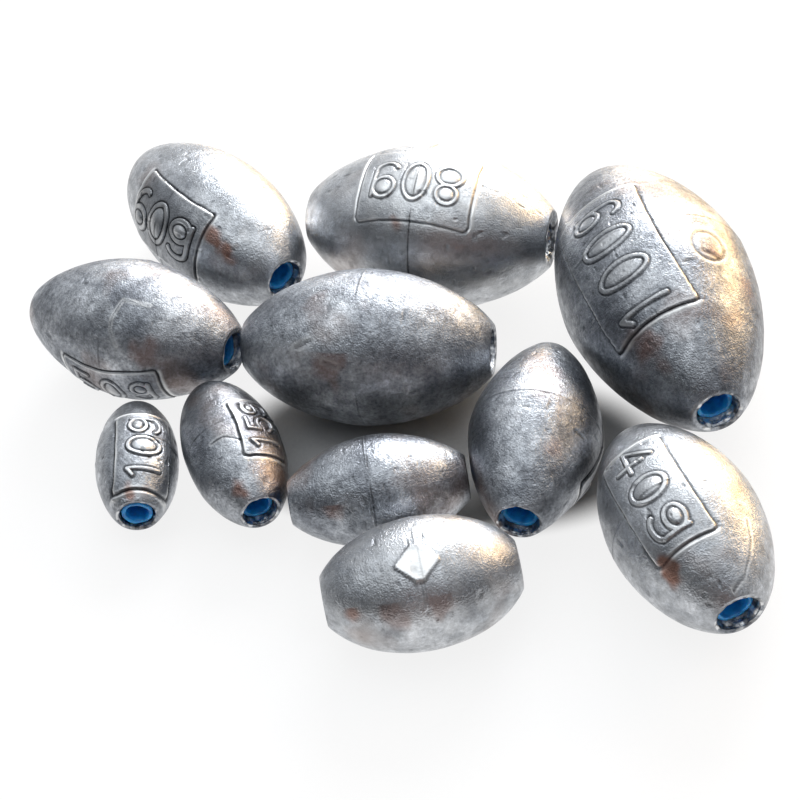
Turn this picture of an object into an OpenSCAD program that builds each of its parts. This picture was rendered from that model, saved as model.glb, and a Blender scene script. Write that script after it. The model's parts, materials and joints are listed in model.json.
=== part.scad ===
// A graded set of eleven egg-shaped lead fishing sinkers, loose on a table.
// Each sinker is a cast lead body with a plastic tube through it, so that a line
// slides without chafing. The weight stands in raised figures on a raised panel.
// Millimetres, +Z up. The table is at zero and the set is centred over the origin.

/* [Sinker 10 g] */
// Length of the lead between its cut ends
length_10g = 16.3; // [14:0.1:20]
// Diameter of the lead at the middle
diameter_10g = 9.9; // [8.5:0.1:12]
// Diameter of the flat cut ends
end_10g = 5; // [4.6:0.1:6]
// Length of the raised panel
panel_10g = 10.6; // [8:0.1:13]
// Height of the figures on the panel
figure_10g = 4.3; // [3:0.1:5]

/* [Sinker 15 g] */
// Length of the lead between its cut ends
length_15g = 20.7; // [17:0.1:25]
// Diameter of the lead at the middle
diameter_15g = 11.6; // [10:0.1:14]
// Diameter of the flat cut ends
end_15g = 4.8; // [4.4:0.1:6]
// Length of the raised panel
panel_15g = 8.6; // [7:0.1:14]
// Height of the figures on the panel
figure_15g = 3.8; // [3:0.1:5]

/* [Sinker 20 g] */
// Length of the lead between its cut ends
length_20g = 20.1; // [17:0.1:25]
// Diameter of the lead at the middle
diameter_20g = 12.9; // [11:0.1:16]
// Diameter of the flat cut ends
end_20g = 5; // [4.8:0.1:7]
// Length of the raised panel
panel_20g = 11; // [9:0.1:15]
// Height of the figures on the panel
figure_20g = 4.2; // [3:0.1:5.5]

/* [Sinker 25 g] */
// Length of the lead between its cut ends
length_25g = 20.9; // [18:0.1:26]
// Diameter of the lead at the middle
diameter_25g = 14.4; // [12:0.1:17]
// Diameter of the flat cut ends
end_25g = 5.4; // [5:0.1:7]
// Length of the raised panel
panel_25g = 12; // [10:0.1:16]
// Height of the figures on the panel
figure_25g = 4.4; // [3:0.1:6]

/* [Sinker 30 g] */
// Length of the lead between its cut ends
length_30g = 25.4; // [21:0.1:31]
// Diameter of the lead at the middle
diameter_30g = 15.3; // [13:0.1:18]
// Diameter of the flat cut ends
end_30g = 5.2; // [5:0.1:7]
// Length of the raised panel
panel_30g = 12.4; // [10:0.1:17]
// Height of the figures on the panel
figure_30g = 4.6; // [3:0.1:6]

/* [Sinker 40 g] */
// Length of the lead between its cut ends
length_40g = 25.6; // [21:0.1:31]
// Diameter of the lead at the middle
diameter_40g = 16.5; // [14:0.1:20]
// Diameter of the flat cut ends
end_40g = 5.6; // [5.2:0.1:8]
// Length of the raised panel
panel_40g = 13.8; // [11:0.1:18]
// Height of the figures on the panel
figure_40g = 4.8; // [4:0.1:6.5]

/* [Sinker 50 g] */
// Length of the lead between its cut ends
length_50g = 28; // [23:0.1:34]
// Diameter of the lead at the middle
diameter_50g = 17.5; // [15:0.1:21]
// Diameter of the flat cut ends
end_50g = 5.8; // [5.2:0.1:8]
// Length of the raised panel
panel_50g = 13.2; // [11:0.1:18]
// Height of the figures on the panel
figure_50g = 5; // [4:0.1:6.5]

/* [Sinker 60 g, first] */
// Length of the lead between its cut ends
length_60g_a = 32.6; // [27:0.1:38]
// Diameter of the lead at the middle
diameter_60g_a = 18; // [15:0.1:22]
// Diameter of the flat cut ends
end_60g_a = 5.4; // [5.2:0.1:8]
// Length of the raised panel
panel_60g_a = 14; // [12:0.1:20]
// Height of the figures on the panel
figure_60g_a = 6; // [4.5:0.1:7]

/* [Sinker 60 g, second] */
// Length of the lead between its cut ends
length_60g_b = 30.1; // [25:0.1:36]
// Diameter of the lead at the middle
diameter_60g_b = 19; // [16:0.1:23]
// Diameter of the flat cut ends
end_60g_b = 6.1; // [5.2:0.1:8]
// Length of the raised panel
panel_60g_b = 14; // [12:0.1:20]
// Height of the figures on the panel
figure_60g_b = 6; // [4.5:0.1:7]

/* [Sinker 80 g] */
// Length of the lead between its cut ends
length_80g = 31.5; // [26:0.1:38]
// Diameter of the lead at the middle
diameter_80g = 21.1; // [18:0.1:25]
// Diameter of the flat cut ends
end_80g = 7.2; // [5.4:0.1:9]
// Length of the raised panel
panel_80g = 14.2; // [12:0.1:20]
// Height of the figures on the panel
figure_80g = 6; // [4.5:0.1:7]

/* [Sinker 100 g] */
// Length of the lead between its cut ends
length_100g = 41.8; // [35:0.1:50]
// Diameter of the lead at the middle
diameter_100g = 23; // [20:0.1:27]
// Diameter of the flat cut ends
end_100g = 6; // [5.4:0.1:9]
// Length of the raised panel
panel_100g = 19.9; // [17:0.1:26]
// Height of the figures on the panel
figure_100g = 7.2; // [6:0.1:8]

/* [Plastic tubes] */
// Outside diameter of the tube in the 10 g and 15 g sinkers
tube_small = 3.6; // [3:0.1:4]
// Outside diameter of the tube in all larger sinkers
tube_large = 4.2; // [3.6:0.1:4.5]
// Wall of the tubes
tube_wall = 0.5; // [0.3:0.05:0.8]
// How far back from the cut ends the tubes stop
tube_recess = 1; // [0.4:0.1:1.6]

/* [Cast details] */
// Height of the raised panels over the lead
panel_rise = 0.25; // [0.15:0.05:0.4]
// Share by which a panel's face is flatter than the lead under it
panel_flatness = 0.2; // [0:0.05:0.5]
// Height of the figures over their panel
figure_rise = 0.3; // [0.15:0.05:0.4]
// Height of the parting seam round the middle
seam_rise = 0.12; // [0.08:0.02:0.24]
// Width of the parting seam
seam_width = 0.6; // [0.4:0.1:1.2]
// Side of the clipped gate scar that sits on the seam
gate_side = 3.4; // [2.4:0.1:4.2]
// Height of the gate scar over the lead
gate_rise = 0.3; // [0.2:0.05:0.4]

/* [Layout] */
// Least gap between neighbouring sinkers, seen from above
sinker_gap = 0.35; // [0.3:0.05:2]

/* [Hidden] */

// One row a sinker: name, mark, length, diameter, end, tube, panel, figure
SINKERS = [
    ["10g", "10g", length_10g, diameter_10g, end_10g, tube_small, panel_10g, figure_10g],
    ["15g", "15g", length_15g, diameter_15g, end_15g, tube_small, panel_15g, figure_15g],
    ["20g", "20g", length_20g, diameter_20g, end_20g, tube_large, panel_20g, figure_20g],
    ["25g", "25g", length_25g, diameter_25g, end_25g, tube_large, panel_25g, figure_25g],
    ["30g", "30g", length_30g, diameter_30g, end_30g, tube_large, panel_30g, figure_30g],
    ["40g", "40g", length_40g, diameter_40g, end_40g, tube_large, panel_40g, figure_40g],
    ["50g", "50g", length_50g, diameter_50g, end_50g, tube_large, panel_50g, figure_50g],
    ["60g_a", "60g", length_60g_a, diameter_60g_a, end_60g_a, tube_large, panel_60g_a, figure_60g_a],
    ["60g_b", "60g", length_60g_b, diameter_60g_b, end_60g_b, tube_large, panel_60g_b, figure_60g_b],
    ["80g", "80g", length_80g, diameter_80g, end_80g, tube_large, panel_80g, figure_80g],
    ["100g", "100g", length_100g, diameter_100g, end_100g, tube_large, panel_100g, figure_100g]
];
function name_of(i) = SINKERS[i][0];
function mark_of(i) = SINKERS[i][1];
function length_of(i) = SINKERS[i][2];
function diameter_of(i) = SINKERS[i][3];
function end_of(i) = SINKERS[i][4];
function tube_of(i) = SINKERS[i][5];
function panel_of(i) = SINKERS[i][6];
function figure_of(i) = SINKERS[i][7];

// One row a sinker: fullness, border, along, roll, turn, gate roll, heading. Fullness
// is the power of the outline, where 2 is an ellipse and less is pointed. Border is
// the panel's margin above and below the figures, along is the panel's place on the
// half length. Roll turns the panel from the top towards the left of the heading, and
// turned figures read towards the tail. All angles are in degrees.
shape_shares = [
    [2.03, 0.22, 0.2, 22, 180, 140, -90],
    [1.95, 0.2, 0.16, 38, 180, 145, -75],
    [1.75, 0.34, 0, 130, 0, 75, -1],
    [1.95, 0.36, 0, 130, 0, -21, 2],
    [1.58, 0.37, 0.05, 130, 0, -125, -108],
    [1.85, 0.25, 0, -28, 0, 140, -78],
    [1.7, 0.2, 0.05, -108, 0, -35, -30],
    [1.9, 0.28, 0.03, -60, 0, 120, -58],
    [1.8, 0.28, 0.03, 130, 0, 75, -15],
    [1.75, 0.32, 0, -18, 180, 130, -23],
    [1.66, 0.25, 0.1, -32, 180, 130, -84]
];
function full_share(i) = shape_shares[i][0];
function border_share(i) = shape_shares[i][1];
function along_share(i) = shape_shares[i][2];
function roll_of(i) = shape_shares[i][3];
function turn_of(i) = shape_shares[i][4];
function gate_roll(i) = shape_shares[i][5];
function heading_of(i) = shape_shares[i][6];

// Order in which the sinkers are laid down, each beside one that lies there: sinker,
// neighbour, bearing from the neighbour in degrees, and how far off the neighbour it
// stands as a share of its own diameter. The first lies at the start of the layout.
settle_shares = [
    ["60g_b", "60g_b", 0, 0],
    ["50g", "60g_b", 159, 0.03],
    ["80g", "60g_b", 62, 0.02],
    ["60g_a", "80g", 160, 0],
    ["15g", "60g_b", -150, 0.07],
    ["10g", "15g", 173, 0],
    ["20g", "15g", -32, 0],
    ["30g", "20g", 10, 0],
    ["100g", "60g_b", -1, 0],
    ["40g", "30g", -52, 0],
    ["25g", "20g", -78, 0.015]
];

// Steps along an outline and round the compass
band_count = 24;
compass_count = 72;
compass_step = 360 / compass_count;
// Overrun of every cut past the face that it leaves
overrun = 1;
// Where raised pieces start, as a share of the radius, well inside the lead
root_share = 0.35;
// Width and stroke of a figure as shares of its height, and its width as a share of its pitch
figure_width_share = 0.72;
stroke_share = 0.13;
pitch_fill_share = 0.84;
// How far strokes cross where they would only touch, as a share of the stroke
cross_share = 0.1;
// Margin of a panel beside its figures, as a share of their pitch
margin_share = 0.3;
// Least share of a bearing that counts as apart, and the slack in a comparison
least_run_share = 0.02;
slack_share = 0.001;
// How often a sinker is pushed on when it meets others
push_count = 6;

// Outline of a sinker: steps along the axis and the radius there
function taper(i) = pow(1 - pow(end_of(i) / diameter_of(i), full_share(i)), 1 / full_share(i));
function radius_at(i, along) =
    diameter_of(i) / 2
    * pow(1 - pow(abs(along) / (length_of(i) / 2) * taper(i), full_share(i)), 1 / full_share(i));
function band_x(i, step) = length_of(i) / 2 * sin(180 * step / band_count - 90);
function outline(i) = concat(
    [for (step = [0 : band_count / 2 - 1]) [band_x(i, step), radius_at(i, band_x(i, step))]],
    [[-seam_width / 2, radius_at(i, seam_width / 2)]],
    [[0, diameter_of(i) / 2 + seam_rise]],
    [[seam_width / 2, radius_at(i, seam_width / 2)]],
    [for (step = [band_count / 2 + 1 : band_count]) [band_x(i, step), radius_at(i, band_x(i, step))]]
);
OUTLINES = [for (i = [0 : len(SINKERS) - 1]) outline(i)];

// Size and place of a panel, and how far a raised face is over the axis
function panel_width(i) = figure_of(i) * (1 + 2 * border_share(i));
function panel_middle(i) = along_share(i) * length_of(i) / 2;
function figure_pitch(i) = panel_of(i) / (len(mark_of(i)) + margin_share);
function figure_width(i) =
    min(figure_pitch(i) * pitch_fill_share, figure_of(i) * figure_width_share);
function raised_radius(i, radius, rise, flatness) =
    radius + rise + flatness * (diameter_of(i) / 2 - radius);

// How far a raised field reaches sideways from the axis, seen from above
function near_side(roll, half) =
    roll + half < 90 ? roll + half : roll - half > 90 ? roll - half : 90;
function field_side(radius, top, field, roll) =
    top * sin(near_side(abs(roll), asin(min(1, field / 2 / radius))));
function panel_side(i, side, along) =
    let (radius = radius_at(i, along))
    sign(roll_of(i)) != side || abs(along - panel_middle(i)) > panel_of(i) / 2 * (1 + slack_share)
        ? 0
        : field_side(
            radius, raised_radius(i, radius, panel_rise + figure_rise, panel_flatness),
            panel_width(i), roll_of(i)
        );
function scar_side(i, side, along) =
    let (radius = radius_at(i, along))
    sign(gate_roll(i)) != side || abs(along) > gate_side
        ? 0
        : field_side(radius, radius + gate_rise, gate_side * sqrt(2), gate_roll(i));

// Outline of each sinker as seen from above, right side first and left side second
function seen_points(i) = concat(
    OUTLINES[i],
    [for (end = [-1, 1])
        let (along = panel_middle(i) + end * panel_of(i) / 2)
        [along, radius_at(i, along)]]
);
function seen_side(i, side) = [
    for (point = seen_points(i))
        [point[0], max(point[1], panel_side(i, side, point[0]), scar_side(i, side, point[0]))]
];
SIDES = [for (i = [0 : len(SINKERS) - 1]) [seen_side(i, -1), seen_side(i, 1)]];

// Reach of a sinker from its middle along each step of the compass
function reach(i, away) =
    max([for (point = SIDES[i][sin(away) < 0 ? 0 : 1])
        cos(away) * point[0] + abs(sin(away)) * point[1]]);
REACHES = [
    for (i = [0 : len(SINKERS) - 1])
        [for (k = [0 : compass_count - 1]) reach(i, k * compass_step - heading_of(i))]
];
function facing(k) = (k + compass_count / 2) % compass_count;

// Gap between sinker i at one place and sinker j at another, and the least run from a
// start along a bearing at which sinker i clears sinker j. Places are a row and x and y.
function run_along(from, to, k) =
    cos(k * compass_step) * (to[1] - from[1]) + sin(k * compass_step) * (to[2] - from[2]);
function gap_between(one, other) =
    max([for (k = [0 : compass_count - 1])
        run_along(other, one, k) - REACHES[other[0]][k] - REACHES[one[0]][facing(k)]]);
function clear_run(i, start, bearing, other) =
    min([for (k = [0 : compass_count - 1])
        if (cos(k * compass_step - bearing) > least_run_share)
            (REACHES[other[0]][k] + REACHES[i][facing(k)] + sinker_gap + run_along(start, other, k))
            / cos(k * compass_step - bearing)]);
function moved(i, start, bearing, run) =
    [i, start[1] + run * cos(bearing), start[2] + run * sin(bearing)];
function pushed(i, start, bearing, run, others, pushes) =
    let (
        place = moved(i, start, bearing, run),
        runs = [for (other = others)
            if (gap_between(place, other) < sinker_gap * (1 - slack_share))
                clear_run(i, start, bearing, other)]
    )
    pushes == 0 || len(runs) == 0
        ? place
        : pushed(i, start, bearing, max(concat([run], runs)), others, pushes - 1);

// Places of the first sinkers of the order, each laid against those before it
function row_of(name) = search([name], SINKERS, 1, 0)[0];
function place_of(places, i) = [for (place = places) if (place[0] == i) place][0];
function laid(count) =
    let (order = settle_shares[count - 1], i = row_of(order[0]))
    count == 1
        ? [[i, 0, 0]]
        : let (
            others = laid(count - 1),
            start = place_of(others, row_of(order[1])),
            run = clear_run(i, start, order[2], start) + order[3] * diameter_of(i)
        )
        concat(others, [pushed(i, start, order[2], run, others, push_count)]);
PLACES = laid(len(settle_shares));

// Edges of the whole layout, for centring it
quarter = compass_count / 4;
east = max([for (place = PLACES) place[1] + REACHES[place[0]][0]]);
north = max([for (place = PLACES) place[2] + REACHES[place[0]][quarter]]);
west = min([for (place = PLACES) place[1] - REACHES[place[0]][2 * quarter]]);
south = min([for (place = PLACES) place[2] - REACHES[place[0]][3 * quarter]]);
function place_x(i) = place_of(PLACES, i)[1] - (east + west) / 2;
function place_y(i) = place_of(PLACES, i)[2] - (north + south) / 2;

// Puts a piece on the table at its sinker's place, with its axis along the heading
module placed(i)
    translate([place_x(i), place_y(i), diameter_of(i) / 2 + seam_rise])
        rotate([0, 0, heading_of(i)])
            children();

// Solid of revolution about the heading, raised over the outline
module turned(i, rise, flatness)
    rotate([0, 90, 0])
        rotate_extrude($fn = 96)
            polygon(concat(
                [[0, -length_of(i) / 2]],
                [for (point = OUTLINES[i]) [raised_radius(i, point[1], rise, flatness), point[0]]],
                [[0, length_of(i) / 2]]
            ));

// Everything under a drawn field that lies over the lead at a roll
module raised(i, roll, rise, flatness)
    intersection() {
        turned(i, rise, flatness);
        rotate([-roll, 0, 0])
            translate([0, 0, diameter_of(i) / 2 * root_share])
                linear_extrude(diameter_of(i) / 2 + overrun)
                    children();
    }

// Long ring of a width and a height, as in a zero
module oval(width, height) {
    square([width, height - width], center = true);
    for (side = [-1, 1])
        translate([0, side * (height - width) / 2])
            circle(d = width, $fn = 48);
}
module oval_ring(width, height, stroke)
    difference() {
        oval(width, height);
        oval(width - 2 * stroke, height - 2 * stroke);
    }
module ring(outer, stroke)
    difference() {
        circle(d = outer, $fn = 48);
        circle(d = outer - 2 * stroke, $fn = 48);
    }

// Figures are drawn about their middle, of width w, height h and stroke s. Strokes cross
// by c rather than touch.
module figure_0(w, h, s, c)
    oval_ring(w, h, s);

module figure_1(w, h, s, c) {
    square([s, h], center = true);
    translate([-s / 2, h / 2 - c])
        rotate(-130)
            square([s * 1.6, s]);
}

module figure_2(w, h, s, c) {
    translate([0, h / 2 - w / 2])
        intersection() {
            ring(w, s);
            translate([-w, -c])
                square([2 * w, w]);
        }
    translate([-w / 2, -h / 2])
        square([w, s]);
    rise = h - w / 2 - s;
    run = w - s;
    translate([-w / 2 + c, -h / 2 + s / 2])
        rotate(atan2(rise, run))
            translate([0, -s])
                square([norm([rise, run]), s - c]);
}

module figure_3(w, h, s, c) {
    r = (h + s + c) / 4;
    for (side = [-1, 1])
        translate([w / 2 - r, side * (h / 2 - r)])
            intersection() {
                ring(2 * r, s);
                translate([-r / 2, -2 * r])
                    square([2 * r, 4 * r]);
            }
}

module figure_4(w, h, s, c) {
    translate([w / 2 - 2 * s, -h / 2])
        square([s, h]);
    translate([-w / 2, -h / 2 + h / 4])
        square([w, s]);
    rise = h * 3 / 4 - s;
    run = w - 2 * s;
    translate([-w / 2 + c, -h / 4 + s - c])
        rotate(atan2(rise, run))
            translate([-s / 2, -s / 2])
                square([norm([rise, run]), s]);
}

module figure_5(w, h, s, c) {
    r = w / 2;
    translate([-r + c, h / 2 - s])
        square([w - 2 * c, s]);
    translate([-r, -h / 2 + 2 * r - s - c])
        square([s, h - 2 * r + s]);
    translate([-r + c, -h / 2 + 2 * r - s - c])
        square([r, s]);
    translate([0, -h / 2 + r])
        difference() {
            ring(w, s);
            translate([-w, -r / 2])
                square([w - c, w]);
        }
}

module figure_6(w, h, s, c) {
    translate([0, -h / 2 + w / 2])
        ring(w, s);
    intersection() {
        oval_ring(w - 2 * c, h, s - 2 * c);
        union() {
            translate([-w, -h / 2 + w / 2])
                square([w, h]);
            translate([-w, h / 2 - w / 3])
                square([2 * w, w]);
        }
    }
}

module figure_8(w, h, s, c) {
    upper = h - w + s + c;
    translate([0, -h / 2 + w / 2])
        ring(w, s);
    translate([0, h / 2 - upper / 2])
        ring(upper, s);
}

module figure_g(w, h, s, c) {
    translate([0, h / 2 - w / 2 - s])
        ring(w, s);
    translate([w / 2 - s - c, -h / 2 + w / 2 - c])
        square([s, h - w / 2 - s]);
    translate([0, -h / 2 + w / 2])
        intersection() {
            ring(w, s);
            translate([-w, -w])
                square([2 * w, w]);
        }
}

module figure(sign, w, h) {
    s = h * stroke_share;
    c = s * cross_share;
    if (sign == "0") figure_0(w, h, s, c);
    if (sign == "1") figure_1(w, h, s, c);
    if (sign == "2") figure_2(w, h, s, c);
    if (sign == "3") figure_3(w, h, s, c);
    if (sign == "4") figure_4(w, h, s, c);
    if (sign == "5") figure_5(w, h, s, c);
    if (sign == "6") figure_6(w, h, s, c);
    if (sign == "8") figure_8(w, h, s, c);
    if (sign == "g") figure_g(w, h, s, c);
}

// Cast body with its seam, panel, figures and gate scar, bored for the tube
module lead(i) {
    count = len(mark_of(i));
    color([0.46, 0.47, 0.49])
        placed(i)
            difference() {
                union() {
                    turned(i, 0, 0);
                    raised(i, roll_of(i), panel_rise, panel_flatness)
                        translate([panel_middle(i), 0])
                            square([panel_of(i), panel_width(i)], center = true);
                    raised(i, roll_of(i), panel_rise + figure_rise, panel_flatness)
                        translate([panel_middle(i), 0])
                            rotate(turn_of(i))
                                for (k = [0 : count - 1])
                                    translate([(k - (count - 1) / 2) * figure_pitch(i), 0])
                                        figure(mark_of(i)[k], figure_width(i), figure_of(i));
                    raised(i, gate_roll(i), gate_rise, 0)
                        rotate(45)
                            square(gate_side, center = true);
                }
                rotate([0, 90, 0])
                    cylinder(h = length_of(i) + 2 * overrun, d = tube_of(i), center = true, $fn = 64);
            }
}

// Plastic tube pressed into the bore, set back from both cut ends
module liner(i) {
    length = length_of(i) - 2 * tube_recess;
    bore = tube_of(i) - 2 * tube_wall;
    color([0.06, 0.36, 0.66])
        placed(i)
            rotate([0, 90, 0])
                difference() {
                    cylinder(h = length, d = tube_of(i), center = true, $fn = 64);
                    cylinder(h = length + 2 * overrun, d = bore, center = true, $fn = 64);
                }
}

for (i = [0 : len(SINKERS) - 1]) {
    lead(i);
    liner(i);
}
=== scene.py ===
# Graded lead egg sinkers with blue tube liners, loose on a white table
import bpy
import json
import math
import numpy as np
from mathutils import Matrix, Vector


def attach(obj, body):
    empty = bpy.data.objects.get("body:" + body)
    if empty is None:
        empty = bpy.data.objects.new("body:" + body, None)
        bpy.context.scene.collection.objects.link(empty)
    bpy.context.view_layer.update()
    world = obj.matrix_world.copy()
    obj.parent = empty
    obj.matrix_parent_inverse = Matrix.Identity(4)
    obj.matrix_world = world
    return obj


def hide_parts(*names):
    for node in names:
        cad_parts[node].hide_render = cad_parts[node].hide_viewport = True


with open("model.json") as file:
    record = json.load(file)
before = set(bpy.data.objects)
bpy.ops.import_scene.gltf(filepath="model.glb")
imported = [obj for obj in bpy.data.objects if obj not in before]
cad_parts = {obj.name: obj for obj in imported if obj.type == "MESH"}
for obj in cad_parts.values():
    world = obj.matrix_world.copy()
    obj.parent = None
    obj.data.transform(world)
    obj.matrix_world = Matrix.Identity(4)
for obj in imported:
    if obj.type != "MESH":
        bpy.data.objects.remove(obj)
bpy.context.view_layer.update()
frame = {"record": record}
millimetre = 0.001
print("frame loaded")


def linearColour(hexText):
    # each sRGB channel c becomes ((c + 0.055) / 1.055) ^ 2.4, or c / 12.92 where it is very dark
    channels = [int(hexText[i:i + 2], 16) / 255 for i in (1, 3, 5)]
    return [c / 12.92 if c <= 0.04045 else ((c + 0.055) / 1.055) ** 2.4 for c in channels] + [1.0]


# where each sinker lies: the middle of its bore and the way its mouth points
places = {}
for mount in frame["record"]["mounts"]:
    if mount["name"].startswith("bore_"):
        places[mount["name"][5:]] = (
            np.array(mount["pos_m"]) / millimetre,
            math.atan2(mount["axis"][1], mount["axis"][0]),
        )

# the camera: a 72 mm lens on a 36 mm sensor is the photograph's view. Angles in degrees,
# lengths in millimetres, the aim on the table measured from the middle of the centre sinker
cameraSettings = {
    "elevation": 45.09, "distance": 198.2, "roll": -9.24, "fieldOfView": 28.07, "sensor": 36,
    "aimFromCentreSinker": (2.69, -0.11), "nearest": 10,
}
centreSinker = places["60g_b"][0]
aim = np.array([centreSinker[0] + cameraSettings["aimFromCentreSinker"][0],
                centreSinker[1] + cameraSettings["aimFromCentreSinker"][1], 0.0])
elevation = math.radians(cameraSettings["elevation"])
eye = aim + cameraSettings["distance"] * np.array([0, -math.cos(elevation), math.sin(elevation)])
cameraData = bpy.data.cameras.new("photoCamera")
cameraData.sensor_width = cameraSettings["sensor"]
cameraData.angle = math.radians(cameraSettings["fieldOfView"])
cameraData.clip_start = cameraSettings["nearest"] * millimetre
camera = bpy.data.objects.new("photoCamera", cameraData)
bpy.context.scene.collection.objects.link(camera)
look = Vector(aim - eye).to_track_quat("-Z", "Y").to_matrix().to_4x4()
camera.matrix_world = (Matrix.Translation(Vector(eye * millimetre)) @ look
                       @ Matrix.Rotation(math.radians(cameraSettings["roll"]), 4, "Z"))
bpy.context.scene.camera = camera
print("camera placed")


def addNode(tree, kind, settings=None, links=None):
    # a node of a kind, with its properties or socket values set and its inputs linked
    node = tree.nodes.new(kind)
    for key, value in (settings or {}).items():
        if isinstance(key, int) or key in node.inputs:
            node.inputs[key].default_value = value
        else:
            setattr(node, key, value)
    for key, source in (links or {}).items():
        tree.links.new(source, node.inputs[key])
    return node


def newMaterial(name):
    # an empty material and its node tree
    material = bpy.data.materials.new(name)
    material.use_nodes = True
    material.node_tree.nodes.clear()
    return material, material.node_tree


def setRamp(node, stops):
    # gives a colour ramp its stops, each a place from 0 to 1 and a colour
    ramp = node.color_ramp
    while len(ramp.elements) > 1:
        ramp.elements.remove(ramp.elements[-1])
    ramp.elements[0].position, ramp.elements[0].color = stops[0]
    for position, colour in stops[1:]:
        ramp.elements.new(position).color = colour
    return node


# lead, gravity cast in a steel mould: a dull satin skin, cloudy where it froze unevenly, speckled
# with fine grains that glint, with painted shade in every crease and high edges brighter by rubbed
# wear and painted highlight. The grains are drawn coarser than real ones, so that they show
leadSettings = {
    "cloudMm": 6.0, "mottleMm": 1.5, "grainMm": 0.42, "speckMm": 0.2, "tintMm": 9.6, "bumpMm": 0.06,
    "dark": "#787C83", "middle": "#989CA2", "light": "#BFC2C7", "warm": "#A07D66",
    "crease": "#1E2024", "rubbedAndHighlight": "#EDEEEE", "stain": "#8E5A3E",
    "roughLow": 0.29, "roughHigh": 0.43, "roughMore": 0.12,
}
castLead, tree = newMaterial("castLead")
where = addNode(tree, "ShaderNodeTexCoord").outputs["Object"]
cloud = addNode(tree, "ShaderNodeTexNoise", {
    "Scale": 1 / (leadSettings["cloudMm"] * millimetre), "Detail": 5.0, "Roughness": 0.62},
    {"Vector": where})
grain = addNode(tree, "ShaderNodeTexNoise", {
    "Scale": 1 / (leadSettings["grainMm"] * millimetre), "Detail": 4.0, "Roughness": 0.72},
    {"Vector": where})
mottle = addNode(tree, "ShaderNodeTexNoise", {
    "Scale": 1 / (leadSettings["mottleMm"] * millimetre), "Detail": 3.0, "Roughness": 0.6},
    {"Vector": where})
speck = addNode(tree, "ShaderNodeTexNoise", {
    "Scale": 1 / (leadSettings["speckMm"] * millimetre), "Detail": 1.0}, {"Vector": where})
tint = addNode(tree, "ShaderNodeTexNoise", {
    "Scale": 1 / (leadSettings["tintMm"] * millimetre), "Detail": 2.0}, {"Vector": where})
cloudColour = setRamp(addNode(tree, "ShaderNodeValToRGB", links={"Fac": cloud.outputs["Fac"]}), [
    (0.34, linearColour(leadSettings["dark"])), (0.5, linearColour(leadSettings["middle"])),
    (0.66, linearColour(leadSettings["light"]))])
grainValue = addNode(tree, "ShaderNodeMapRange", {
    "From Min": 0.32, "From Max": 0.68, "To Min": 0.6, "To Max": 1.35},
    {"Value": grain.outputs["Fac"]})
mottleValue = addNode(tree, "ShaderNodeMapRange", {
    "From Min": 0.35, "From Max": 0.65, "To Min": 0.88, "To Max": 1.1},
    {"Value": mottle.outputs["Fac"]})
patchValue = addNode(tree, "ShaderNodeMath", {"operation": "MULTIPLY"}, {
    0: grainValue.outputs["Result"], 1: mottleValue.outputs["Result"]})
grained = addNode(tree, "ShaderNodeVectorMath", {"operation": "SCALE"}, {
    0: cloudColour.outputs["Color"], "Scale": patchValue.outputs["Value"]})
tintShare = addNode(tree, "ShaderNodeMapRange", {
    "From Min": 0.55, "From Max": 0.72, "To Min": 0.0, "To Max": 0.4},
    {"Value": tint.outputs["Fac"]})
# shares that the meshes carry: rubbed wear and painted highlight, stained, grime and painted shade
# in creases, dull all over
shares = {key: addNode(tree, "ShaderNodeAttribute", {"attribute_name": key}).outputs["Fac"]
          for key in ("rub", "stain", "crease", "dull")}
leadColour = grained.outputs["Vector"]
for share, shade in ((tintShare.outputs["Result"], "warm"), (shares["rub"], "rubbedAndHighlight"),
                     (shares["stain"], "stain"), (shares["crease"], "crease")):
    laidOver = addNode(tree, "ShaderNodeMix", {
        "data_type": "RGBA", 7: linearColour(leadSettings[shade])}, {
        "Factor": share, 6: leadColour})
    leadColour = laidOver.outputs[2]
roughness = addNode(tree, "ShaderNodeMapRange", {
    "From Min": 0.35, "From Max": 0.65, "To Min": leadSettings["roughHigh"],
    "To Max": leadSettings["roughLow"]}, {"Value": mottle.outputs["Fac"]})
roughness = addNode(tree, "ShaderNodeMath", {
    "operation": "MULTIPLY_ADD", 1: leadSettings["roughMore"]}, {
    0: shares["dull"], 2: roughness.outputs["Result"]})
relief = addNode(tree, "ShaderNodeMath", {"operation": "ADD"}, {
    0: grain.outputs["Fac"], 1: speck.outputs["Fac"]})
bumpShare = addNode(tree, "ShaderNodeMapRange", {"To Min": 1.0, "To Max": 0.15}, {
    "Value": shares["rub"]})
bump = addNode(tree, "ShaderNodeBump", {"Distance": leadSettings["bumpMm"] * millimetre}, {
    "Height": relief.outputs["Value"], "Strength": bumpShare.outputs["Result"]})
surface = addNode(tree, "ShaderNodeBsdfPrincipled", {"Metallic": 1.0}, {
    "Base Color": leadColour, "Roughness": roughness.outputs["Value"],
    "Normal": bump.outputs["Normal"]})
addNode(tree, "ShaderNodeOutputMaterial", links={"Surface": surface.outputs["BSDF"]})

# polyethylene, extruded as a thin tube and cut: saturated blue, a little milky, waxy gloss
tubeSettings = {"blue": "#2E9FE3", "deep": "#1E7CC0", "streakMm": 0.9, "milkyMm": 2}
blueTube, tree = newMaterial("extrudedPolyethylene")
where = addNode(tree, "ShaderNodeTexCoord").outputs["Object"]
streak = addNode(tree, "ShaderNodeTexNoise", {
    "Scale": 1 / (tubeSettings["streakMm"] * millimetre), "Detail": 2.0}, {"Vector": where})
tubeColour = setRamp(addNode(tree, "ShaderNodeValToRGB", links={"Fac": streak.outputs["Fac"]}), [
    (0.35, linearColour(tubeSettings["deep"])), (0.6, linearColour(tubeSettings["blue"]))])
surface = addNode(tree, "ShaderNodeBsdfPrincipled", {
    "Roughness": 0.32, "IOR": 1.51, "Subsurface Weight": 0.5,
    "Subsurface Scale": tubeSettings["milkyMm"] * millimetre},
    {"Base Color": tubeColour.outputs["Color"]})
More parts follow.
